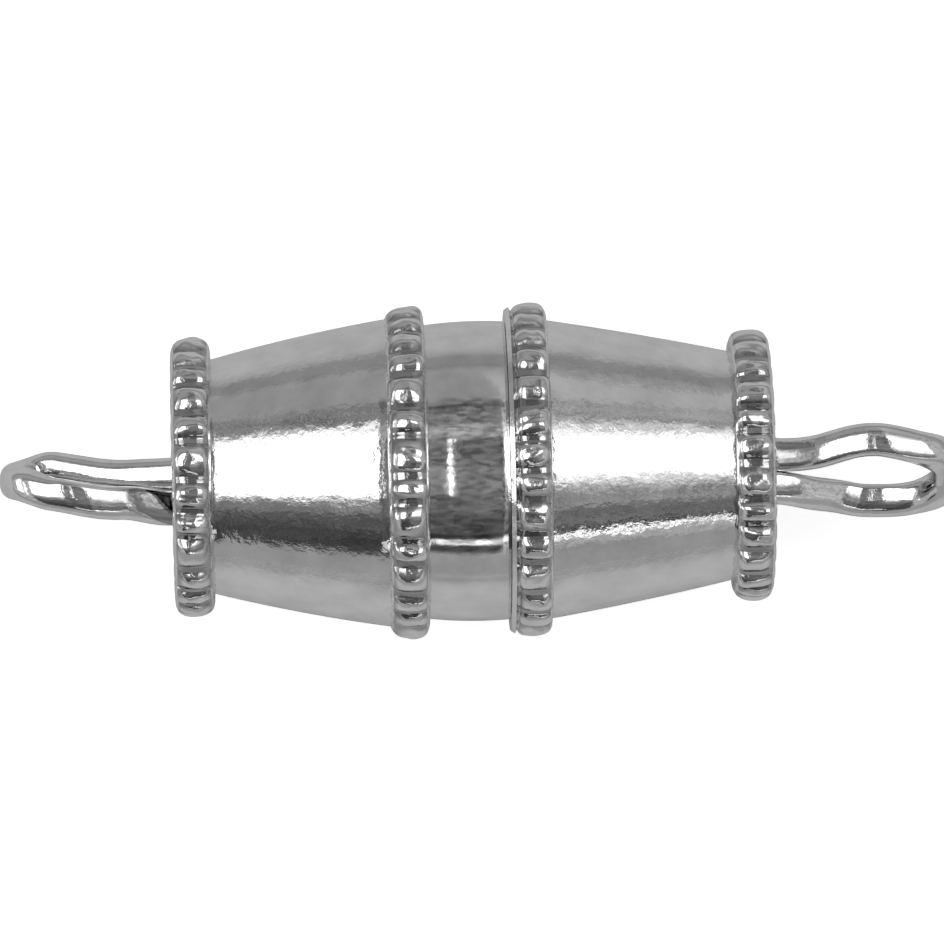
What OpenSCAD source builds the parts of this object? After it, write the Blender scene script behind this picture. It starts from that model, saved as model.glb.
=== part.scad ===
/* [Barrel] */
// Radius over the beads of the two middle rings
mid_ring_r = 2.51; // [2.48:0.01:2.56]
// Radius over the beads of the ring at the stud half's eye
stud_ring_r = 2.11; // [2.06:0.01:2.16]
// Radius over the beads of the ring at the socket half's eye
socket_ring_r = 2.04; // [2.02:0.01:2.1]
// Length of the stud half, from the seam to the outer side of its end ring
stud_half_l = 4.99; // [4.9:0.01:5.2]
// Length of the socket half, from the seam to the outer side of its end ring
socket_half_l = 3.96; // [3.9:0.01:4.1]
// Distance from the seam to the middle of the stud half's inner ring
band_l = 1.49; // [1.4:0.01:1.6]
// Gap that shows as the seam between the closed halves
seam_gap = 0.03; // [0.02:0.01:0.06]
// Thickness of the wall that each eye turns in
end_wall = 0.5; // [0.4:0.05:0.6]

/* [Beads] */
// Radius of a bead
bead_r = 0.3; // [0.28:0.01:0.32]
// Radius of the half-round rib that the beads stand on
rib_r = 0.24; // [0.22:0.01:0.26]
// Beads round each middle ring
mid_beads = 30; // [28:2:32]
// Beads round each end ring
end_beads = 26; // [24:2:28]

/* [Screw] */
// Outer radius of the stud's thread
thread_r = 1.25; // [1.22:0.01:1.27]
// Distance that one turn moves the halves apart
pitch = 0.45; // [0.42:0.01:0.5]
// Height of the thread above the stud's core
thread_h = 0.19; // [0.17:0.01:0.2]
// Play all round between the two threads
thread_play = 0.055; // [0.05:0.005:0.06]
// Length of the stud beyond the seam
stud_l = 2.3; // [2.2:0.05:2.35]

/* [Eyes] */
// Diameter of the eyes' wire
wire_d = 0.5; // [0.46:0.01:0.52]
// Width of an eye over its wire
eye_w = 1.93; // [1.8:0.01:2]
// Length of an eye from its spread legs to its tip, along the middle of the wire
eye_l = 3.77; // [3.7:0.01:3.8]
// Turn of the stud half's eye out of the plane of its legs
stud_eye_twist = 72; // [66:1:78]
// Turn of the socket half's eye out of the plane of its legs
socket_eye_twist = 49; // [44:1:54]
// Radius of the holes that the eyes turn in
eye_hole_r = 0.78; // [0.77:0.01:0.8]

/* [Hidden] */
$fn = 96;

// Width of the flat rim beside the seam, before the beads begin
rim_l = 0.025;
// Rings: distance of each middle from the seam, and radius to the middle of its beads
stud_end_s = -stud_half_l + bead_r;
stud_mid_s = -band_l;
socket_mid_s = seam_gap / 2 + rim_l + bead_r;
socket_end_s = socket_half_l - bead_r;
mid_bead_c = mid_ring_r - bead_r;
stud_bead_c = stud_ring_r - bead_r;
socket_bead_c = socket_ring_r - bead_r;

// Skin of the cones and of the middle band: radius at each end, and rise of the crown between
stud_skin_r = [1.755, 2.3];
stud_crown = 0.035;
band_skin_r = [2.2, 2.235];
band_crown = 0.03;
socket_skin_r = [2.235, 1.715];
socket_crown = 0.02;
// Outer radius of the flat rim that closes against the stud half
rim_r = 2.4;
crown_steps = 8;

// End walls: the flat lies a little behind the outer side of the end ring
end_recess = 0.1;
edge_cut = 0.05;
stud_wall_out = -stud_half_l + end_recess;
stud_wall_in = stud_wall_out + end_wall;
socket_wall_out = socket_half_l - end_recess;
socket_wall_in = socket_wall_out - end_wall;

// Bores
core_r = thread_r - thread_h;
stud_bore_r = 1.3;
plug_r = 1.6;
plug_play = 0.01;
plug_l = 1.05;
bore_r = core_r + thread_play;
relief_r = 1.34;
relief_s = stud_l + 0.2;
mouth_r = 1.45;

// Screw thread: flanks stand 60 degrees apart
crest_w = 0.06;
flank = tan(30);
thread_steps = 18;
thread_start = 0.15;
thread_end = stud_l - 0.15;
groove_start = -1.5 * pitch;
groove_end = relief_s + pitch / 2;
// Turns over which the ridge fades out at each end, and the share of its height left there
runout = 0.25;
end_keep = 0.15;
ridge_root_r = core_r - 0.05;
groove_root_r = bore_r - 0.03;
tip_cut = 0.12;

// Washers behind the end walls
washer_r = 1.08;
washer_l = 0.2;
washer_play = 0.02;
stud_washer_s = stud_wall_in + washer_play;
socket_washer_s = socket_wall_in - washer_play - washer_l;

// Eyes: u runs along the barrel from the spread legs, v is half the space between the strands
wire_r = wire_d / 2;
leg_v = wire_r + 0.01;
leg_reach = 0.93;
bend_r = 0.3;
eye_v = eye_w / 2 - wire_r;
// Strands of each eye, the raised one first: the lengths over which it spreads and turns, the place
// where it starts to close round the tip, and how square it is there
stud_strands = [[[1.04, 2.98], [0.86, 2.22], 2.3, 3.2], [[1.39, 4.15], [0.5, 3.2], 3, 3]];
socket_strands = [[[1.16, 2.83], [0.45, 1.9], 2.37, 2.6], [[1.12, 2.55], [0.86, 2.2], 2.4, 1.85]];
// Turn of each tip, and the length over which the tip takes it up
stud_tip_turn = 84;
socket_tip_turn = 45;
tip_turn_u = [3.2, eye_l];
wire_sides = 12;
bend_steps = 6;
strand_steps = 18;
nose_steps = 14;
// Sideways sag of each eye in its hole, at the legs and at the tip, and the length between
stud_eye_shift = [-0.197, 0];
stud_shift_u = [2.07, 3.37];
socket_eye_shift = [0.09, 0.21];
socket_shift_u = [2.2, 3.56];
socket_legs_s = socket_washer_s - washer_play - wire_r;
stud_legs_s = -3.555;

// Place of the barrel: the origin is on the table, under the middle of the whole length
stud_tip = stud_legs_s - eye_l - wire_r;
socket_tip = socket_legs_s + eye_l + wire_r;
seam_x = -(stud_tip + socket_tip) / 2;
axis_z = mid_bead_c * cos(180 / mid_beads) + bead_r;

// Line from p to q with a crown of height h; points are [radius, place along the barrel]
function crowned(p, q, h) =
    [for (i = [0 : crown_steps]) let (t = i / crown_steps) p + t * (q - p) + [4 * h * t * (1 - t), 0]];

// Rises smoothly from 0 to 1 as u passes from span[0] to span[1]
function ease(u, span) = (1 - cos(180 * min(max((u - span[0]) / (span[1] - span[0]), 0), 1))) / 2;

function unit(v) = v / norm(v);

// Puts a piece that was made along the seam's own axis in its place
module on_barrel(s = 0) translate([seam_x + s, 0, axis_z]) children();

// Solid of revolution about the barrel's axis
module turned(profile) rotate([0, 90, 0]) rotate_extrude() polygon(profile);

// Ring of beads on a half-round rib, with the lowest point between two beads
module bead_ring(s, centre_r, count) {
    turned_rib(s, centre_r);
    for (i = [0 : count - 1])
        rotate([(i + 0.5) * 360 / count, 0, 0]) translate([s, 0, -centre_r]) sphere(bead_r);
}

module turned_rib(s, centre_r) rotate([0, 90, 0]) rotate_extrude() translate([centre_r, s]) circle(rib_r);

// Tube of round wire along a path; sides names the direction that each ring starts from
module wire(path, sides) {
    last = len(path) - 1;
    along = [for (i = [0 : last]) unit(path[min(i + 1, last)] - path[max(i - 1, 0)])];
    up = [for (i = [0 : last]) unit(sides[i] - (sides[i] * along[i]) * along[i])];
    points = [for (i = [0 : last], k = [0 : wire_sides - 1])
        let (a = 360 * k / wire_sides)
        path[i] + wire_r * (cos(a) * up[i] + sin(a) * cross(along[i], up[i]))];
    tube_solid(points, wire_sides, last);
}

// Closed tube through rings of points, each with the same number of corners
module tube_solid(points, corners, last) {
    walls = [for (i = [0 : last - 1], k = [0 : corners - 1])
        let (n = (k + 1) % corners, a = i * corners, b = a + corners)
        each [[a + k, b + n, b + k], [a + k, a + n, b + n]]];
    first_cap = [for (k = [corners - 1 : -1 : 0]) k];
    last_cap = [for (k = [0 : corners - 1]) last * corners + k];
    polyhedron(points, concat([first_cap], walls, [last_cap]));
}

// One strand from the end of its leg to the tip, as [u, v]
function strand(plan) = let (nose_u = plan[2], power = 2 / plan[3]) concat(
    [[0, leg_reach]],
    [for (i = [0 : bend_steps]) let (a = 90 * i / bend_steps)
        [bend_r * (1 - cos(a)), leg_v + bend_r * (1 - sin(a))]],
    [for (i = [1 : strand_steps]) let (u = bend_r + (nose_u - bend_r) * i / strand_steps)
        [u, spread(u, plan[0])]],
    [for (i = [1 : nose_steps]) let (a = 90 * i / nose_steps, u = nose_u + (eye_l - nose_u) * pow(sin(a), power))
        [u, spread(u, plan[0]) * pow(cos(a), power)]]);

// Distance of a strand from the middle of its eye
function spread(u, span) = leg_v + (eye_v - leg_v) * ease(u, span);

// Wire eye whose legs lie in the XY plane and whose loop is turned out of it; turns holds the turn of
// the loop and of its tip, and shift the sag to the side at the legs and at the tip
module eye(turns, shift, shift_u, plans) {
    path_turn = [for (k = [0, 1]) let (half = strand(plans[k]), last = len(half) - 1)
        for (i = [0 : last - k])
            let (p = half[k == 0 ? i : last - 1 - i],
                 turn = turns[0] * ease(p[0], plans[k][1]) + (turns[1] - turns[0]) * ease(p[0], tip_turn_u),
                 v = k == 0 ? p[1] : -p[1],
                 sag = shift[0] + (shift[1] - shift[0]) * ease(p[0], shift_u))
            [[p[0], v * cos(turn) - sag, v * sin(turn)], turn]];
    wire([for (q = path_turn) q[0]], [for (q = path_turn) [0, -sin(q[1]), cos(q[1])]]);
}

// Right-hand screw ridge about X, from place s0 to s1, fading into the core at its ends
module screw_ridge(s0, s1, root_r, crest_r, half_crest, fade) {
    turns = (s1 - s0) / pitch;
    last = ceil(turns * thread_steps);
    points = [for (i = [0 : last])
        let (t = turns * i / last,
             s = s0 + pitch * t,
             a = 360 * s / pitch,
             keep = fade == 0 ? 1 : max(end_keep, min(1, t / fade, (turns - t) / fade)),
             crest = root_r + (crest_r - root_r) * keep,
             half_root = half_crest + flank * (crest_r - root_r))
        each [for (c = [[root_r, -half_root], [crest, -half_crest], [crest, half_crest], [root_r, half_root]])
            [s + c[1], c[0] * cos(a), c[0] * sin(a)]]];
    tube_solid(points, 4, last);
}

module stud_barrel() color("silver") on_barrel() union() {
    turned(concat(
        [[eye_hole_r, stud_wall_in], [eye_hole_r, stud_wall_out + edge_cut],
         [eye_hole_r + edge_cut, stud_wall_out], [stud_bead_c, stud_wall_out]],
        crowned([stud_skin_r[0], stud_end_s + bead_r], [stud_skin_r[1], stud_mid_s - bead_r], stud_crown),
        crowned([band_skin_r[0], stud_mid_s + bead_r], [band_skin_r[1], -seam_gap / 2], band_crown),
        [[plug_r + plug_play, -seam_gap / 2], [plug_r + plug_play, -plug_l],
         [stud_bore_r, -plug_l], [stud_bore_r, stud_wall_in]]));
    bead_ring(stud_end_s, stud_bead_c, end_beads);
    bead_ring(stud_mid_s, mid_bead_c, mid_beads);
}

module screw_stud() color("gainsboro") on_barrel() union() {
    turned([[0, -plug_l + plug_play], [plug_r, -plug_l + plug_play], [plug_r, -seam_gap],
            [core_r, -seam_gap], [core_r, stud_l - tip_cut], [core_r - tip_cut, stud_l], [0, stud_l]]);
    screw_ridge(thread_start, thread_end, ridge_root_r, thread_r, crest_w / 2, runout);
}

module stud_washer() color("darkgray") on_barrel(stud_washer_s) washer();

module socket_washer() color("darkgray") on_barrel(socket_washer_s) washer();

module washer() turned([[eye_hole_r, 0], [washer_r, 0], [washer_r, washer_l], [eye_hole_r, washer_l]]);

module stud_eye() color("gainsboro") on_barrel(stud_legs_s) rotate([0, 0, 180])
    eye([stud_eye_twist, stud_tip_turn], stud_eye_shift, stud_shift_u, stud_strands);

module socket_barrel() color("silver") on_barrel() difference() {
    union() {
        turned(concat(
            [[mouth_r, seam_gap / 2], [rim_r, seam_gap / 2], [rim_r, socket_mid_s]],
            crowned([socket_skin_r[0], socket_mid_s + bead_r],
                    [socket_skin_r[1], socket_end_s - bead_r], socket_crown),
            [[socket_bead_c, socket_wall_out], [eye_hole_r + edge_cut, socket_wall_out],
             [eye_hole_r, socket_wall_out - edge_cut], [eye_hole_r, socket_wall_in],
             [relief_r, socket_wall_in], [relief_r, relief_s], [bore_r, relief_s],
             [bore_r, seam_gap / 2 + mouth_r - bore_r]]));
        bead_ring(socket_mid_s, mid_bead_c, mid_beads);
        bead_ring(socket_end_s, socket_bead_c, end_beads);
    }
    screw_ridge(groove_start, groove_end, groove_root_r, thread_r + thread_play,
                crest_w / 2 + thread_play * (1 - flank), 0);
}

module socket_eye() color("gainsboro") on_barrel(socket_legs_s)
    eye([socket_eye_twist, socket_tip_turn], socket_eye_shift, socket_shift_u, socket_strands);

stud_barrel();
screw_stud();
stud_washer();
stud_eye();
socket_barrel();
socket_washer();
socket_eye();
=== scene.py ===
import math
import random

import bpy
import numpy as np
from mathutils import Matrix, Vector


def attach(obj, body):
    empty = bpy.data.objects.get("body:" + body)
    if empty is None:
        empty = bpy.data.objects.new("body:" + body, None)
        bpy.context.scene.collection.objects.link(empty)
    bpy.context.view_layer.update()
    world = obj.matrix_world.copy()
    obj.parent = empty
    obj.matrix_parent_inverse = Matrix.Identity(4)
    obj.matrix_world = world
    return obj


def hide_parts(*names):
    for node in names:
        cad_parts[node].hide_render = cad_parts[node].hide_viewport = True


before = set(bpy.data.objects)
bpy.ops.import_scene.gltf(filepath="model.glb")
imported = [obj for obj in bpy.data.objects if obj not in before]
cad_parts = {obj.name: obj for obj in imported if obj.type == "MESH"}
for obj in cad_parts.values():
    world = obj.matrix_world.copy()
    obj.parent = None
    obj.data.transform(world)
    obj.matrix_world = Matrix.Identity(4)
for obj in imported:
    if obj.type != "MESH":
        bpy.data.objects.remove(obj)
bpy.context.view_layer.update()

# Looks of a plated screw barrel clasp. Sizes are in millimetres along the axis from the seam (s),
# out from the axis (r) and round it from straight down (turn), and become metres in place().
MM = 0.001

# Place of the barrel in the frame: its seam along X, and the height of its axis
SEAM_X = 0.3425
AXIS_Z = 2.49789
# Where the socket half begins, just past the middle of the seam
SEAM = 0.015

# Rings of beads: middle of the ring (s), radius to the middle of a bead (c), half the ring's width,
# number of beads, seed of their small differences, squareness of a bead's section, power that rounds
# its notches, how far its crest is pushed along the axis, and the arc of its section that shows, in
# degrees from the stud side over the top
STUD_END = dict(s=-4.69, c=1.81, half=0.3, count=26, seed=11,
                square=2.7, round=2.4, push=0.0, arc=(-48, 191))
STUD_MID = dict(s=-1.49, c=2.21, half=0.3, count=30, seed=12,
                square=2.5, round=2.3, push=0.18, arc=(0, 180))
SOCKET_MID = dict(s=0.365, c=2.21, half=0.275, count=30, seed=13,
                  square=3.3, round=2.6, push=0.0, arc=(8, 180))
SOCKET_END = dict(s=3.66, c=1.74, half=0.3, count=26, seed=14,
                  square=3.1, round=2.6, push=0.0, arc=(-8, 228))
BEAD_R = 0.3
# Depth of the notches between beads, and the share of the pitch that their plain floors take
NOTCH_DEPTH = 0.1
NOTCH_FLOOR = 0.2
# How much narrower the ring is in its notches, and the power by which they fade down its sides
NOTCH_PINCH = 0.03
NOTCH_FADE = 0.7
# Share of a ring's width over which the notches get painted shade
NOTCH_SHADE_SHARE = 0.85
# Largest differences from bead to bead: place of an edge as a share of the pitch, rise, lean along
# the axis, lean round it, and squareness
BEAD_VARIES = dict(edge=0.15, rise=0.012, lean=0.035, tip=0.03, square=0.3)
# Dents on each bead: their number, greatest depth, and the power that keeps them off its edges
DENTS = 3
DENT = 0.006
DENT_KEEP = 4
# Limits of each dent's direction over the bead, waves over its width, start and share of the depth
DENT_VARIES = ((0, math.pi), (1.2, 3.0), (0, 6.3), (0.4, 1.0))

# Skins of the cones and the middle band: start and end (s, r), rise of the crown, steps along them
STUD_CONE = dict(start=(-4.39, 1.755), end=(-1.79, 2.3), crown=0.035, steps=16)
BAND = dict(start=(-1.19, 2.2), end=(-0.042, 2.235), crown=0.025, steps=14)
SOCKET_CONE = dict(start=(0.64, 2.235), end=(3.36, 1.715), crown=0.02, steps=18)
# Bevel at the band's end: width and fall
BAND_EDGE = (0.05, 0.009)
# Rim before the socket half's first ring (s, r), and the foot of the groove behind it
RIM = ((SEAM, 2.405), (0.08, 2.447), (0.09, 2.425))
RIM_FOOT = (0.14, 2.34)

# End walls: outer and inner face, radius of the hole, and bevel of its edge
STUD_WALL = (-4.89, -4.39)
SOCKET_WALL = (3.86, 3.36)
HOLE_R = 0.78
EDGE_CUT = 0.05
# Stud half's bore, and the plug in its open end: radius, play, depth of its seat and place of its face
STUD_BORE_R = 1.3
PLUG_R = 1.6
PLUG_PLAY = 0.01
PLUG_L = 1.05
PLUG_FACE = -2 * SEAM
# Socket half's mouth, tapped bore, and the wider bore past the thread with the place where it starts
MOUTH_R = 1.45
BORE_R = 1.115
RELIEF_R = 1.34
RELIEF_S = 2.5

# Screw thread: pitch, slope of its flanks, share of a turn by which it is set on, and stud's core
PITCH = 0.45
FLANK = math.tan(math.radians(30))
HELIX_SET = 0.25
CORE_R = 1.06
# Ridge on the stud: crest and half its flat, stretch along the axis, and fade at both ends as a share
# of a turn, down to the radius of its root
RIDGE_R = 1.25
RIDGE_HALF = 0.03
RIDGE_S = (0.15, 2.15)
RIDGE_FADE = 0.25
RIDGE_ROOT_R = 1.01
# Groove in the bore: radius and half of its flat
GROOVE_R = 1.305
GROOVE_HALF = 0.0532
# Tip of the stud, its bevel, the bevel of the plug's inner end, and the small bevels of other edges
STUD_TIP = 2.3
TIP_CUT = 0.12
PLUG_CUT = 0.03
SMALL_CUT = 0.02

# Wire of the eyes: radius, squareness of its flattened section, and length and depth of its end bevels
WIRE_R = 0.25
WIRE_SQUARE = 2.7
WIRE_CUT = (0.035, 0.04)
# Each strand behind its wall: distance from the axis in the hole, reach of its spread leg, and radius
# of the bend between them
LEG_V = 0.26
LEG_REACH = 0.93
BEND_R = 0.3
# Eye: half its width and its length from the legs to the tip, both to the middle of the wire, the
# stretch before the tip where its plane turns on, and the stretch where the crest fades
EYE_V = 0.715
EYE_L = 3.77
TIP_TURN_U = (3.2, EYE_L)
CREST_FADE_U = (2.9, 3.6)
# Plans of the eyes: place of the legs, way that the eye points, turn of its plane in degrees before
# the tip and at it, and its shift across the barrel before and after the stretch shift_u. Strands, the
# raised one first: the stretches where it spreads and twists, the place where it begins to close
# round the tip and the power that rounds it there, and the place of its section's crest towards the
# middle of the eye, as a share of the wire's radius.
STUD_EYE = dict(s=-3.555, way=-1, turns=(72, 84), shift=(-0.197, 0.0), shift_u=(2.07, 3.37), strands=(
    dict(spread=(1.04, 2.98), twist=(0.86, 2.22), nose=2.3, power=3.2, crest=0.4),
    dict(spread=(1.39, 4.15), twist=(0.5, 3.2), nose=3.0, power=3.0, crest=0.0)))
SOCKET_EYE = dict(s=2.87, way=1, turns=(49, 45), shift=(0.09, 0.21), shift_u=(2.2, 3.56), strands=(
    dict(spread=(1.16, 2.83), twist=(0.45, 1.9), nose=2.37, power=2.6, crest=0.3),
    dict(spread=(1.12, 2.55), twist=(0.86, 2.2), nose=2.4, power=1.85, crest=0.45)))

# Points round a skin, round a bore and round a wire
ROUND_SKIN = 720
ROUND_BORE = 144
ROUND_WIRE = 48
# Steps over a bead's section, and rows for each turn of the groove and of the ridge
BEAD_STEPS = 36
GROOVE_STEPS = 20
RIDGE_STEPS = 22
# Points along each stretch of a strand
STRAND_POINTS = dict(leg=8, bend=12, middle=60, tip=48)
# Angles over which an edge stays sharp, in degrees, on turned skins and on wire
SHARP = 32
WIRE_SHARP = 50

# Metal of the plates: tint of its reflections at a grazing angle
EDGE_TINT = 0.92
# Stretches of the noise over which the plates' tone and roughness change
TONE_SPAN = (0.3, 0.68)
ROUGH_SPAN = (0.35, 0.7)
# Scales of the noise for the roughness, dents and pits, as multiples of the mottling's
ROUGH_SCALE = 1.7
DENT_SCALE = 2.2
PIT_SCALE = 7
# Detail and roughness of the pits' noise
PIT_DETAIL = 4.0
PIT_ROUGH = 0.65
# Painted shade in the notches: depth in a notch from which it darkens, and the share of the dark
# tone that is left on its floor
NOTCH_SHADE_FROM = 0.55
NOTCH_SHADE_TONE = 0.6
# Strength of the dents and pits on the middle band, as a share of those on the cones, and where it
# has risen to theirs, as a share of half the band's length
CALM = 0.15
CALM_EDGE = 1.05

# Cards and soft boxes round the clasp, by the angle from straight up towards +X and towards +Y, in
# degrees. A later row lies over an earlier one. Each has a soft edge along X and one along Y.
CARDS = [
    # left, right, near, far, brightness, edge along X, edge along Y
    (-180, 180, -90, -64, 0.352, 4, 4),
    (-180, 180, 84, 100, 0.267, 4, 5),
    (-180, 180, 57, 84, 0.343, 4, 3),
    (13, 60, 57, 80, 0.476, 3, 4),
    (-60, 13, 36, 58, 0.248, 3, 3),
    (13, 60, 36, 57, 0.381, 3, 4),
    # The two large boxes over the cones, each with a dimmer border, and two tall ones at the left
    (-42, -15, -21, 36, 1.619, 1.2, 5),
    (-42, -15, -15, 30, 2.619, 1.2, 3),
    (11, 41, -10, 33, 1.524, 1.2, 7),
    (11, 41, 0, 24, 2.619, 1.2, 3),
    (-75, -62, -33, 46, 2.381, 1.5, 3),
    (-57, -54, -33, 24, 2.2, 1, 3),
    # Dark cards below them, with a bright seam at the right
    (-46, 13, -36, -22, 0.21, 2, 4),
    (-46, 13, -66, -33, 0.1, 2, 2.5),
    (-46, 13, -64, -48, 0.06, 2, 3),
    (13, 46, -30, -15, 0.286, 2, 5),
    (13, 46, -48, -30, 0.171, 2, 3),
    (13, 40, -52.5, -47, 0.057, 2, 0.8),
    (13, 40, -56.5, -52.5, 1.429, 2, 0.6),
    # The dark strip between the boxes, with its bright and dark seams
    (-15, 12, -53, 57, 0.21, 1.0, 1.0),
    (-15, 12, 26, 36, 0.381, 1.0, 2.5),
    (-15, 12, 5, 23, 0.162, 1.0, 3),
    (-15, 12, -34, -19, 0.162, 1.0, 3),
    (-15, 12, -53, -32, 0.095, 1.0, 3),
    (-17, 14, -53.5, -50, 0.033, 1.0, 0.8),
    (-17, 14, -59, -54.5, 1.048, 1.0, 0.6),
    (-17, 20, 50, 53, 0.095, 1.0, 0.8),
    (-7.3, -6.5, -19, 25, 2.857, 0.2, 1.0),
]
# Brightness of the sky where there is no card
AMBIENT = 0.485
# Brightness of the cut-out background, for rays straight from the camera alone
BACKDROP = 1.0
# Unevenness of the cards: the part of the sky across the barrel that has it and its soft edge, scale
# and detail of the noise, the stretch of the noise, and how far that darkens and brightens
UNEVEN = dict(near=-66, far=57, edge=5, scale=20.0, detail=2.0, span=(0.38, 0.62), light=(0.5, 1.55))

# Floor: half its side, and how far it lies under the frame's floor, which clears the lowest bead
FLOOR_HALF = 450
FLOOR_DROP = 0.003
# Its tone under the clasp, and how far a faint grain moves that
FLOOR_TONE = 0.66
FLOOR_GRAIN = dict(scale=900.0, span=(0.3, 0.7), share=0.02)
# Painted falloff of light on the floor: distances across the barrel over which the tone falls on
# each side, and the share left farther out
FAR_LIGHT_FALLOFF = (8.0, 24.0, 0.54)
NEAR_LIGHT_FALLOFF = (-60.0, -12.0, 0.7)
# White that only the camera sees on the floor, and the paper's dull finish
FLOOR_WHITE = 0.74
PAPER_ROUGH = 0.9
PAPER_SPECULAR = 0.1

# Camera: place, the point that it looks at, turn of its picture in degrees, lens and sensor, and the
# distances between which it sees
CAMERA_AT = (-3.1, -0.015, AXIS_Z + 133)
CAMERA_AIM = (-0.1665, -0.015, AXIS_Z)
CAMERA_ROLL = 1.25
CAMERA_LENS = 338.8
CAMERA_SENSOR = 36
CAMERA_CLIP = (5, 20000)


# Meshes

def place(s, y, z):
    """A point of the barrel, given from the seam and the axis, in metres in the frame."""
    return np.stack([(SEAM_X + s) * MM, y * MM, (AXIS_Z + z) * MM], axis=-1)


def turns(count):
    """Directions round the axis, in radians from straight down."""
    return np.arange(count) * 2 * math.pi / count


def row(s, r, count):
    """A ring of points: s and r are numbers, or arrays with a value for each direction."""
    return np.broadcast_to(np.asarray(s, float), count), np.broadcast_to(np.asarray(r, float), count)


def bore_rows(*points):
    """Rows with the bores' count of points, one for each (s, r)."""
    return [row(s, r, ROUND_BORE) for s, r in points]


def mesh_object(name, points, faces, material, sharp):
    """A smooth mesh with its material, whose edges stay sharp over the given angle."""
    mesh = bpy.data.meshes.new(name)
    mesh.from_pydata(points, [], faces)
    mesh.validate()
    mesh.polygons.foreach_set("use_smooth", np.ones(len(mesh.polygons), bool))
    mesh.set_sharp_from_angle(angle=math.radians(sharp))
    mesh.update()
    piece = bpy.data.objects.new(name, mesh)
    bpy.context.scene.collection.objects.link(piece)
    piece.data.materials.append(material)
    return piece


def strip(a, n, b, m):
    """Faces from a row of n points, the first of them a, to a row of m points from b on. The larger
    count is a multiple of the smaller."""
    count = min(n, m)
    near, far = n // count, m // count
    return [tuple([a + (k * near + q) % n for q in range(near + 1)]
                  + [b + (k * far + q) % m for q in range(far, -1, -1)]) for k in range(count)]


def lathe(name, rows, material, looped=True):
    """Skin through rows of points round the axis, which loops back to its first row or has flat ends."""
    points, starts, faces = [], [], []
    total = 0
    for s, r in rows:
        turn = turns(len(s))
        points.append(place(s, r * np.sin(turn), -r * np.cos(turn)))
        starts.append(total)
        total += len(s)
    for i in range(len(rows) if looped else len(rows) - 1):
        j = (i + 1) % len(rows)
        faces += strip(starts[i], len(rows[i][0]), starts[j], len(rows[j][0]))
    if not looped:
        faces.append(tuple(starts[0] + k for k in range(len(rows[0][0]) - 1, -1, -1)))
        faces.append(tuple(starts[-1] + k for k in range(len(rows[-1][0]))))
    return mesh_object(name, np.concatenate(points).tolist(), faces, material, SHARP)


def skin_rows(skin):
    """Rows over a crowned cone or band."""
    (s0, r0), (s1, r1) = skin["start"], skin["end"]
    return [row(s0 + k * (s1 - s0), r0 + k * (r1 - r0) + 4 * skin["crown"] * k * (1 - k), ROUND_SKIN)
            for k in np.linspace(0, 1, skin["steps"] + 1)]


def bead_table(ring):
    """Small differences from bead to bead, the same at each run."""
    dice = random.Random(ring["seed"])
    table = {key: np.array([dice.uniform(-most, most) for _ in range(ring["count"])])
             for key, most in BEAD_VARIES.items()}
    table["dents"] = np.array([[[dice.uniform(*limits) for limits in DENT_VARIES] for _ in range(DENTS)]
                               for _ in range(ring["count"])])
    return table


def bead_rows(ring, base, wall=None):
    """Rows over a ring of beads. base gives the skin's radius under it, and wall is the place of the
    end wall's face, where the section passes into that."""
    table = bead_table(ring)
    count = ring["count"]
    edges = np.arange(count) + table["edge"]
    at = turns(ROUND_SKIN) / (2 * math.pi) * count
    which = (np.searchsorted(edges, at, side="right") - 1) % count
    start = edges[which]
    length = (edges[(which + 1) % count] - start) % count
    # Place on each bead, from -1 at its start to 1 at its end, held at those over a notch's floor
    v = np.clip((((at - start) % count) / length * 2 - 1) / (1 - NOTCH_FLOOR), -1, 1)
    notch = np.abs(v) ** ring["round"]
    inside = 1 - np.abs(v) ** DENT_KEEP
    rows = []
    for angle in np.linspace(*ring["arc"], BEAD_STEPS + 1):
        c, w = math.cos(math.radians(angle)), math.sin(math.radians(angle))
        power = 2 / (ring["square"] + table["square"][which])
        along = -np.sign(c) * np.abs(c) ** power
        up = np.sign(w) * np.abs(w) ** power
        along = along + ring["push"] * (1 - along * along) * (up > 0)
        dent = 0
        for way, waves, first, share in table["dents"][which].transpose(1, 2, 0):
            over = np.cos(way) * along + np.sin(way) * v
            dent = dent + share * np.sin(waves * math.pi * over + first)
        dent = dent * DENT * inside * (1 - np.abs(along) ** DENT_KEEP)
        lift = table["rise"][which] + table["lean"][which] * along + table["tip"][which] * v - DENT * DENTS
        fall = NOTCH_DEPTH * notch - np.minimum(lift, 0.0) * inside - dent
        r = ring["c"] + BEAD_R * up - fall * np.clip(up, 0, 1) ** NOTCH_FADE
        s = ring["s"] + ring["half"] * along * (1 - NOTCH_PINCH * notch)
        if wall is not None and angle < 0 and wall < ring["s"]:
            s = np.minimum(s, wall)
        elif wall is not None and angle > 180 and wall > ring["s"]:
            s = np.maximum(s, wall)
        else:
            r = np.maximum(r, base(s))
        rows.append((s, np.minimum(r, ring["c"] + BEAD_R)))
    return rows


def mark_notch_shade(piece, rings):
    """Marks how deep each point lies between the beads, from 0 at their crests to 1 in the notches,
    which sets the painted shade there.
    """
    spots = np.array([tuple(vertex.co) for vertex in piece.data.vertices]) / MM
    s, r = spots[:, 0] - SEAM_X, np.hypot(spots[:, 1], spots[:, 2] - AXIS_Z)
    depth = np.zeros(len(spots))
    for ring in rings:
        near = np.abs(s - ring["s"]) < ring["half"] * NOTCH_SHADE_SHARE
        depth = np.where(near, np.clip((ring["c"] + BEAD_R - r) / NOTCH_DEPTH, 0, 1), depth)
    piece.data.attributes.new("notch", "FLOAT", "POINT").data.foreach_set("value", depth)
    return piece


def line(p, q):
    """Gives the radius at s on the straight line between two points (s, r), held past its ends."""
    def radius(s):
        return p[1] + (q[1] - p[1]) * np.clip((s - p[0]) / (q[0] - p[0]), 0, 1)
    return radius


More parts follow.
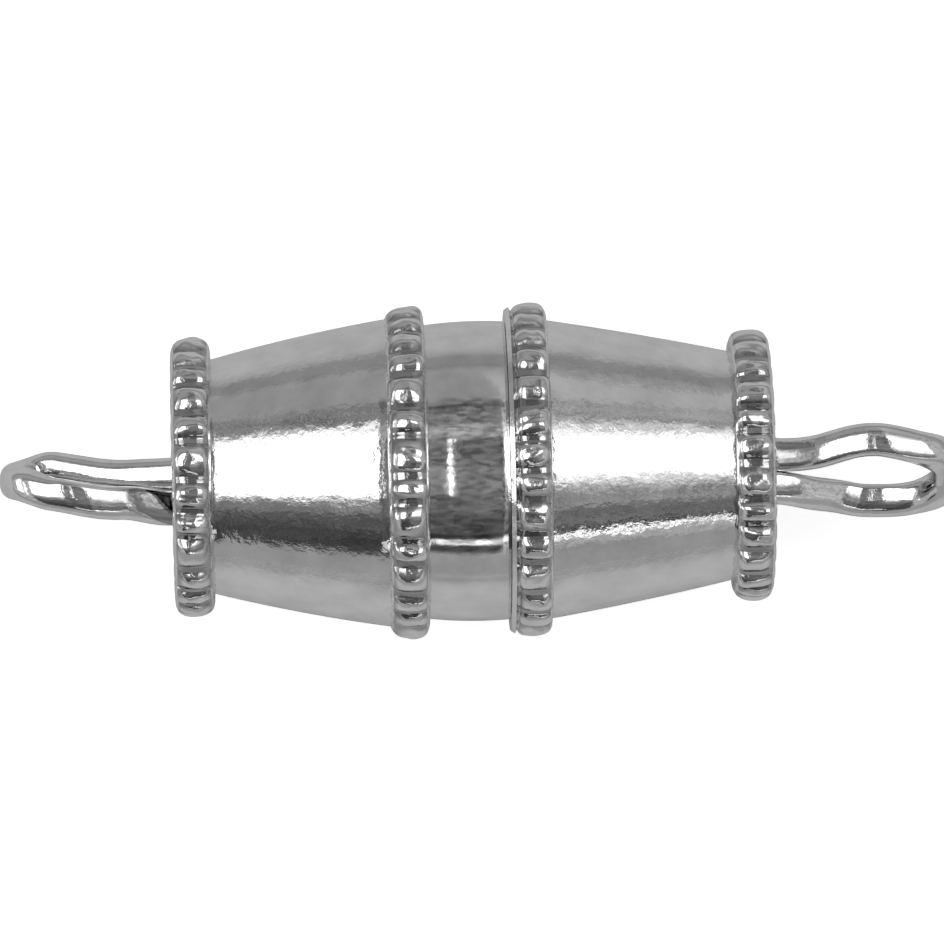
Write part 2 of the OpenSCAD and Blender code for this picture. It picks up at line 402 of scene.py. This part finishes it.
def helix_offset(s, turn):
    """Nearest turn of the thread's middle line: its place, and the distance to it."""
    start = PITCH * (turn / (2 * math.pi) - HELIX_SET)
    nearest = start + PITCH * np.round((s - start) / PITCH)
    return nearest, np.abs(s - nearest)


def groove_r(s, turn):
    """Radius of the tapped bore."""
    _, gap = helix_offset(s, turn)
    return np.clip(GROOVE_R - (gap - GROOVE_HALF) / FLANK, BORE_R, GROOVE_R)


def ridge_r(s, turn):
    """Radius of the stud's thread, which fades into the core at both ends."""
    middle, gap = helix_offset(s, turn)
    along = (middle - RIDGE_S[0]) / PITCH
    count = (RIDGE_S[1] - RIDGE_S[0]) / PITCH
    keep = np.clip(np.minimum(along, count - along) / RIDGE_FADE, 0, 1)
    crest = RIDGE_ROOT_R + (RIDGE_R - RIDGE_ROOT_R) * keep
    return np.clip(crest - (gap - RIDGE_HALF) / FLANK, CORE_R, RIDGE_R)


def stud_barrel(material):
    """Stud half's shell: end wall, ring, cone, ring, band, and the bore with the plug's seat."""
    face, inner = STUD_WALL
    rows = bead_rows(STUD_END, line((face, STUD_END["c"]), STUD_CONE["start"]), wall=face)
    rows += skin_rows(STUD_CONE)
    rows += bead_rows(STUD_MID, line(STUD_CONE["end"], BAND["start"]))
    rows += skin_rows(BAND)
    edge = BAND["end"][0] + BAND_EDGE[0]
    rows.append(row(edge, BAND["end"][1] - BAND_EDGE[1], ROUND_SKIN))
    seat = PLUG_R + PLUG_PLAY
    rows += bore_rows((edge, seat), (-PLUG_L, seat), (-PLUG_L, STUD_BORE_R), (inner, STUD_BORE_R),
                      (inner, HOLE_R), (face + EDGE_CUT, HOLE_R), (face, HOLE_R + EDGE_CUT))
    return mark_notch_shade(lathe("stud_barrel_plated", rows, material), (STUD_END, STUD_MID))


def socket_barrel(material):
    """Socket half's shell: rim, ring, cone, ring, end wall, and the tapped bore."""
    face, inner = SOCKET_WALL
    groove_foot = line(RIM[-1], RIM_FOOT)

    def under_beads(s):
        return np.where(s < SOCKET_MID["s"], groove_foot(s), SOCKET_CONE["start"][1])

    rows = bore_rows((SEAM, MOUTH_R)) + [row(s, r, ROUND_SKIN) for s, r in RIM]
    rows += bead_rows(SOCKET_MID, under_beads)
    rows += skin_rows(SOCKET_CONE)
    rows += bead_rows(SOCKET_END, line(SOCKET_CONE["end"], (face, SOCKET_END["c"])), wall=face)
    rows += bore_rows((face, HOLE_R + EDGE_CUT), (face - EDGE_CUT, HOLE_R), (inner, HOLE_R),
                      (inner, RELIEF_R), (RELIEF_S, RELIEF_R))
    turn = turns(ROUND_BORE)
    for s in np.arange(RELIEF_S, SEAM, -PITCH / GROOVE_STEPS):
        rows += bore_rows((s, np.maximum(groove_r(s, turn), MOUTH_R - (s - SEAM))))
    return mark_notch_shade(lathe("socket_barrel_plated", rows, material), (SOCKET_MID, SOCKET_END))


def screw_stud(material):
    """Threaded stud on its round plug."""
    low, top = -PLUG_L + PLUG_PLAY, STUD_TIP - TIP_CUT
    rows = bore_rows((low, PLUG_R - PLUG_CUT), (low + PLUG_CUT, PLUG_R),
                     (PLUG_FACE - SMALL_CUT, PLUG_R), (PLUG_FACE, PLUG_R - SMALL_CUT),
                     (PLUG_FACE, CORE_R + SMALL_CUT), (0, CORE_R))
    turn = turns(ROUND_BORE)
    for s in np.arange(SMALL_CUT, top, PITCH / RIDGE_STEPS):
        rows += bore_rows((s, ridge_r(s, turn)))
    tip_r = CORE_R - TIP_CUT
    rows += bore_rows((top, CORE_R), (STUD_TIP - SMALL_CUT, tip_r + SMALL_CUT),
                      (STUD_TIP, tip_r - SMALL_CUT))
    return lathe("screw_stud_threaded", rows, material, looped=False)


def ease(u, stretch):
    """Rises smoothly from 0 to 1 as u passes over the stretch."""
    return (1 - np.cos(math.pi * np.clip((u - stretch[0]) / (stretch[1] - stretch[0]), 0, 1))) / 2


def strand_outline(strand):
    """One strand from the end of its leg to the tip: u is away from the wall, v across the eye."""
    def spread(u):
        return LEG_V + (EYE_V - LEG_V) * float(ease(u, strand["spread"]))

    def quarter(part):
        return np.linspace(0, math.pi / 2, STRAND_POINTS[part])

    nose, power = strand["nose"], 2 / strand["power"]
    leg = [(0, v) for v in np.linspace(LEG_REACH, LEG_V + BEND_R, STRAND_POINTS["leg"], endpoint=False)]
    bend = [(BEND_R * (1 - math.cos(a)), LEG_V + BEND_R * (1 - math.sin(a))) for a in quarter("bend")]
    middle = [(u, spread(u)) for u in np.linspace(BEND_R, nose, STRAND_POINTS["middle"])[1:]]
    tip = []
    for a in quarter("tip")[1:]:
        u = nose + (EYE_L - nose) * math.sin(a) ** power
        tip.append((u, spread(u) * max(math.cos(a), 0.0) ** power))
    return np.array(leg + bend + middle + tip)


def eye_path(plan):
    """Middle line of the wire over both strands, its turn, and how its section is laid: the angle of
    the section, and its crest."""
    parts = []
    for strand, hand in zip(plan["strands"], (1, -1)):
        outline = strand_outline(strand)
        u, v = outline[:, 0], outline[:, 1] * hand
        late = ease(u, TIP_TURN_U)
        turn = np.radians(plan["turns"][0] * ease(u, strand["twist"])
                          + (plan["turns"][1] - plan["turns"][0]) * late)
        shift = plan["shift"][0] + (plan["shift"][1] - plan["shift"][0]) * ease(u, plan["shift_u"])
        lay = turn + (math.pi / 2 - turn) * late
        lay = -lay if hand > 0 else lay - math.pi
        crest = hand * strand["crest"] * (1 - ease(u, CREST_FADE_U))
        part = np.stack([u, v * np.cos(turn) - shift, v * np.sin(turn), turn, lay, crest], axis=1)
        parts.append(part if hand > 0 else part[-2::-1])
    return np.concatenate(parts)


def eye(name, plan, material):
    """Flattened wire bent to an eye and turned out of the plane of its legs."""
    rows = eye_path(plan)
    path, turn, lay, crest = rows[:, :3], rows[:, 3], rows[:, 4], rows[:, 5]
    ahead = np.gradient(path, axis=0)
    ahead /= np.linalg.norm(ahead, axis=1)[:, None]
    up = np.stack([np.zeros_like(turn), -np.sin(turn), np.cos(turn)], axis=1)
    up -= ahead * np.sum(up * ahead, axis=1)[:, None]
    up /= np.linalg.norm(up, axis=1)[:, None]
    side = np.cross(ahead, up)
    angle = turns(ROUND_WIRE)
    c, w = np.cos(angle), np.sin(angle)
    swell = (np.abs(c) ** WIRE_SQUARE + np.abs(w) ** WIRE_SQUARE) ** (-1 / WIRE_SQUARE)
    last = len(path) - 1
    cut_l, end_r = WIRE_CUT[0], WIRE_R - WIRE_CUT[1]
    rings = [(0, 0.0, end_r), (0, cut_l, WIRE_R)] + [(i, 0.0, WIRE_R) for i in range(1, last)]
    rings += [(last, -cut_l, WIRE_R), (last, 0.0, end_r)]
    points = []
    for i, step, radius in rings:
        across = w * swell
        across = across + crest[i] * (1 - across * across)
        first = math.cos(lay[i]) * up[i] + math.sin(lay[i]) * side[i]
        second = math.cos(lay[i]) * side[i] - math.sin(lay[i]) * up[i]
        p = path[i] + ahead[i] * step + radius * ((c * swell)[:, None] * first + across[:, None] * second)
        points.append(place(plan["s"] + plan["way"] * p[:, 0], plan["way"] * p[:, 1], p[:, 2]))
    n, end = ROUND_WIRE, len(rings) - 1
    faces = [(i * n + k, i * n + (k + 1) % n, (i + 1) * n + (k + 1) % n, (i + 1) * n + k)
             for i in range(end) for k in range(n)]
    faces += [tuple(range(n - 1, -1, -1)), tuple(end * n + k for k in range(n))]
    return mesh_object(name, np.concatenate(points).tolist(), faces, material, WIRE_SHARP)


# Materials

def fill(tree, sockets, values):
    """Gives each socket its value: a node's output is linked, and anything else is set."""
    for socket, value in zip(sockets, values):
        if isinstance(value, bpy.types.NodeSocket):
            tree.links.new(value, socket)
        else:
            socket.default_value = value


def node(tree, kind, **inputs):
    """Adds a node and fills the inputs that are named, with an underscore for each space."""
    made = tree.nodes.new(kind)
    fill(tree, [made.inputs[key.replace("_", " ")] for key in inputs], inputs.values())
    return made


def calculate(tree, operation, *values):
    """Works out one operation on one or two values."""
    made = tree.nodes.new("ShaderNodeMath")
    made.operation = operation
    fill(tree, made.inputs, values)
    return made.outputs[0]


def times(tree, a, b):
    """Multiplies two values."""
    return calculate(tree, "MULTIPLY", a, b)


def mixed(tree, share, a, b):
    """Passes from a to b as the share goes from 0 to 1."""
    return node(tree, "ShaderNodeMix", Factor=share, A=a, B=b).outputs["Result"]


def span(tree, value, low, high, out_low, out_high):
    """Maps low..high to out_low..out_high and holds it there outside."""
    return node(tree, "ShaderNodeMapRange", Value=value, From_Min=low, From_Max=high,
                To_Min=out_low, To_Max=out_high).outputs["Result"]


def noise(tree, coords, scale, detail=3.0, rough=0.55):
    """Soft noise over the coordinates, from 0 to 1."""
    return node(tree, "ShaderNodeTexNoise", Vector=coords, Scale=scale, Detail=detail,
                Roughness=rough).outputs["Fac"]


def new_material(name):
    """A material with its tree and shader."""
    material = bpy.data.materials.new(name)
    material.use_nodes = True
    return material, material.node_tree, material.node_tree.nodes["Principled BSDF"]


def plated(name, dark, light, rough, mottle, dents, pits, calm=None):
    """Bright plate over brass: a mottled metal from dark to light, with faint dents and fine pits of
    the heights given in metres, and painted shade that darkens it where a mesh is marked as a notch.
    mottle is the scale of the mottling, and calm a skin where the dents and pits are fainter."""
    material, tree, shader = new_material(name)
    shader.inputs["Metallic"].default_value = 1.0
    shader.inputs["Specular Tint"].default_value = (*[EDGE_TINT] * 3, 1)
    coords = node(tree, "ShaderNodeTexCoord").outputs["Object"]
    tone = span(tree, noise(tree, coords, mottle), *TONE_SPAN, dark, light)
    # Depth between the beads, which sets the painted shade in the notches
    mark = node(tree, "ShaderNodeAttribute")
    mark.attribute_name = "notch"
    depth = span(tree, mark.outputs["Fac"], NOTCH_SHADE_FROM, 1.0, 0.0, 1.0)
    roughness = span(tree, noise(tree, coords, mottle * ROUGH_SCALE), *ROUGH_SPAN, *rough)
    strength = 1.0
    if calm:
        middle = SEAM_X + (calm["start"][0] + calm["end"][0]) / 2
        half = (calm["end"][0] - calm["start"][0]) / 2
        x = node(tree, "ShaderNodeSeparateXYZ", Vector=coords).outputs["X"]
        away = calculate(tree, "ABSOLUTE", calculate(tree, "SUBTRACT", x, middle * MM))
        strength = span(tree, away, half * MM, half * CALM_EDGE * MM, CALM, 1.0)
    dented = node(tree, "ShaderNodeBump", Strength=strength, Distance=dents,
                  Height=noise(tree, coords, mottle * DENT_SCALE))
    pitted = node(tree, "ShaderNodeBump", Strength=strength, Distance=pits,
                  Height=noise(tree, coords, mottle * PIT_SCALE, PIT_DETAIL, PIT_ROUGH),
                  Normal=dented.outputs["Normal"])
    # Painted shade: the base colour darkens in the notches between the beads
    tree.links.new(mixed(tree, depth, tone, dark * NOTCH_SHADE_TONE), shader.inputs["Base Color"])
    tree.links.new(roughness, shader.inputs["Roughness"])
    tree.links.new(pitted.outputs["Normal"], shader.inputs["Normal"])
    return material


def floor_paper():
    """Pale matt sheet under the clasp, with a painted falloff of light that makes it a little darker far
    from it. The camera sees it as a cut-out background, which is whiter than the grey that the plate
    mirrors."""
    material, tree, shader = new_material("pale_sheet")
    shader.inputs["Roughness"].default_value = PAPER_ROUGH
    shader.inputs["Specular IOR Level"].default_value = PAPER_SPECULAR
    shader.inputs["Emission Color"].default_value = (1, 1, 1, 1)
    coords = node(tree, "ShaderNodeTexCoord").outputs["Object"]
    across = node(tree, "ShaderNodeSeparateXYZ", Vector=coords).outputs["Y"]
    # Painted falloff of light: the sheet's tone is darker far from the clasp on each side
    far = span(tree, across, FAR_LIGHT_FALLOFF[0] * MM, FAR_LIGHT_FALLOFF[1] * MM, 1.0, FAR_LIGHT_FALLOFF[2])
    near = span(tree, across, NEAR_LIGHT_FALLOFF[0] * MM, NEAR_LIGHT_FALLOFF[1] * MM, NEAR_LIGHT_FALLOFF[2], 1.0)
    low, high = FLOOR_TONE * (1 - FLOOR_GRAIN["share"]), FLOOR_TONE * (1 + FLOOR_GRAIN["share"])
    grain = span(tree, noise(tree, coords, FLOOR_GRAIN["scale"]), *FLOOR_GRAIN["span"], low, high)
    tree.links.new(times(tree, times(tree, far, near), grain), shader.inputs["Base Color"])
    camera_ray = node(tree, "ShaderNodeLightPath").outputs["Is Camera Ray"]
    tree.links.new(span(tree, camera_ray, 0, 1, 0, FLOOR_WHITE), shader.inputs["Emission Strength"])
    return material


# Studio

def studio():
    """Sky that holds the cards, as the plate mirrors them and as they light the clasp."""
    world = bpy.data.worlds.new("studio")
    bpy.context.scene.world = world
    world.use_nodes = True
    tree = world.node_tree
    tree.nodes.clear()
    sky = node(tree, "ShaderNodeTexCoord").outputs["Generated"]
    axes = node(tree, "ShaderNodeSeparateXYZ", Vector=sky)

    def lean(axis):
        return calculate(tree, "DEGREES", calculate(tree, "ARCTAN2", axes.outputs[axis], axes.outputs["Z"]))

    def between(value, low, high, soft):
        return times(tree, span(tree, value, low - soft, low + soft, 0, 1),
                     span(tree, value, high - soft, high + soft, 1, 0))

    sideways, across = lean("X"), lean("Y")
    level = AMBIENT
    for left, right, near, far, bright, edge_x, edge_y in CARDS:
        cover = times(tree, between(sideways, left, right, edge_x), between(across, near, far, edge_y))
        level = mixed(tree, cover, level, bright)
    patches = noise(tree, sky, UNEVEN["scale"], UNEVEN["detail"])
    covered = between(across, UNEVEN["near"], UNEVEN["far"], UNEVEN["edge"])
    uneven = mixed(tree, covered, 1.0, span(tree, patches, *UNEVEN["span"], *UNEVEN["light"]))
    camera_ray = node(tree, "ShaderNodeLightPath").outputs["Is Camera Ray"]
    seen = mixed(tree, camera_ray, times(tree, level, uneven), BACKDROP)
    light = node(tree, "ShaderNodeBackground", Color=(1, 1, 1, 1), Strength=seen)
    node(tree, "ShaderNodeOutputWorld", Surface=light.outputs["Background"])


def floor():
    """The sheet that the clasp lies on."""
    half, z = FLOOR_HALF * MM, -FLOOR_DROP * MM
    mesh = bpy.data.meshes.new("floor")
    corners = [(-half, -half, z), (half, -half, z), (half, half, z), (-half, half, z)]
    mesh.from_pydata(corners, [], [(0, 1, 2, 3)])
    card = bpy.data.objects.new("floor", mesh)
    bpy.context.scene.collection.objects.link(card)
    card.data.materials.append(floor_paper())


def camera():
    """Nearly straight down, with the barrel's axis rising a little to the right."""
    aim, stand = Vector(CAMERA_AIM) * MM, Vector(CAMERA_AT) * MM
    roll = math.radians(CAMERA_ROLL)
    back = (stand - aim).normalized()
    right = Vector((math.cos(roll), -math.sin(roll), 0))
    right = (right - back * right.dot(back)).normalized()
    up = back.cross(right)
    data = bpy.data.cameras.new("camera")
    data.sensor_width = CAMERA_SENSOR
    data.lens = CAMERA_LENS
    data.clip_start, data.clip_end = CAMERA_CLIP[0] * MM, CAMERA_CLIP[1] * MM
    view = bpy.data.objects.new("camera", data)
    view.matrix_world = Matrix((right, up, back)).transposed().to_4x4()
    view.location = stand
    bpy.context.scene.collection.objects.link(view)
    bpy.context.scene.camera = view


# The clasp

camera()
studio()
floor()
bpy.context.scene.view_settings.view_transform = "Standard"

barrel_plate = plated("barrel_plate_bright", dark=0.70, light=0.84, rough=(0.04, 0.11), mottle=2200.0,
                      dents=7.5e-6, pits=1.2e-6, calm=BAND)
wire_plate = plated("wire_plate_bright", dark=0.71, light=0.84, rough=(0.05, 0.1), mottle=2600.0,
                    dents=3.6e-6, pits=8e-7)
stud_plate = plated("stud_plate_cut", dark=0.67, light=0.80, rough=(0.12, 0.24), mottle=3000.0,
                    dents=2e-6, pits=6e-7)
washer_plate = plated("washer_plate_dull", dark=0.55, light=0.67, rough=(0.3, 0.45), mottle=3000.0,
                      dents=2e-6, pits=8e-7)

PIECES = [
    # piece, body, node that it stands for, slot
    (stud_barrel(barrel_plate), "stud_half", "stud_barrel", "barrel_plate"),
    (screw_stud(stud_plate), "stud_half", "screw_stud", "stud_plate"),
    (eye("stud_eye_wire", STUD_EYE, wire_plate), "stud_eye", "stud_eye", "wire_plate"),
    (socket_barrel(barrel_plate), "socket_half", "socket_barrel", "barrel_plate"),
    (eye("socket_eye_wire", SOCKET_EYE, wire_plate), "socket_eye", "socket_eye", "wire_plate"),
]
for piece, body, stands_for, slot in PIECES:
    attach(piece, body)
    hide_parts(stands_for)

for name in ("stud_washer", "socket_washer"):
    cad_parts[name].data.materials.clear()
    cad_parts[name].data.materials.append(washer_plate)
